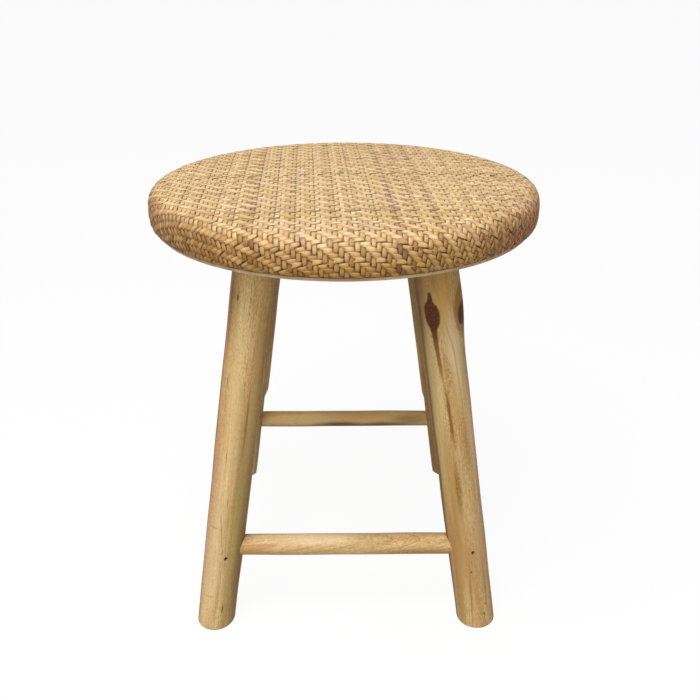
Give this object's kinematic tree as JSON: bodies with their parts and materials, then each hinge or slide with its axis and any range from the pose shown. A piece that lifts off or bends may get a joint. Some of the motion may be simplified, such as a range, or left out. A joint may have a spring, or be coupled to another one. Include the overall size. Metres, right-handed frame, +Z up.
{
  "type": "stool",
  "caption": "Round wooden stool with splayed turned legs, stretchers and a padded seat under a twill-woven rattan mat.",
  "frame": {"origin": "on the floor under the middle of the seat", "axes": "+Z up, -Y towards the front, +X to the right seen from the front"},
  "size_m": [0.3872, 0.3872, 0.45],
  "materials": {
    "leg_wood": "sanded and clear oiled",
    "stretcher_wood": "sanded and clear oiled",
    "wedge_wood": "plain split hardwood",
    "rattan": "split rattan peel in a twill weave, satin",
    "plywood": "sanded plywood",
    "foam": "open-cell foam, hidden",
    "steel": "plain wire steel, a little dark"
  },
  "bodies": {
    "root": {"closing_board": "plywood", "seat_board": "plywood", "seat_pad": "foam", "woven_cover": "rattan", "leg_front_left": "leg_wood", "leg_wedge_front_left": "wedge_wood", "leg_front_right": "leg_wood", "leg_wedge_front_right": "wedge_wood", "leg_rear_left": "leg_wood", "leg_wedge_rear_left": "wedge_wood", "leg_rear_right": "leg_wood", "leg_wedge_rear_right": "wedge_wood", "stretcher_front": "stretcher_wood", "stretcher_pin_front_1": "steel", "stretcher_pin_front_2": "steel", "stretcher_rear": "stretcher_wood", "stretcher_pin_rear_1": "steel", "stretcher_pin_rear_2": "steel", "stretcher_left": "stretcher_wood", "stretcher_pin_left_1": "steel", "stretcher_pin_left_2": "steel", "stretcher_right": "stretcher_wood", "stretcher_pin_right_1": "steel", "stretcher_pin_right_2": "steel", "hem_tack_01": "steel", "hem_tack_02": "steel", "hem_tack_03": "steel", "hem_tack_04": "steel", "hem_tack_05": "steel", "hem_tack_06": "steel", "hem_tack_07": "steel", "hem_tack_08": "steel", "hem_tack_09": "steel", "hem_tack_10": "steel", "hem_tack_11": "steel", "hem_tack_12": "steel", "board_screw_01": "steel", "board_screw_02": "steel", "board_screw_03": "steel", "board_screw_04": "steel", "board_screw_05": "steel", "board_screw_06": "steel", "board_screw_07": "steel", "board_screw_08": "steel"}
  },
  "joints": []
}
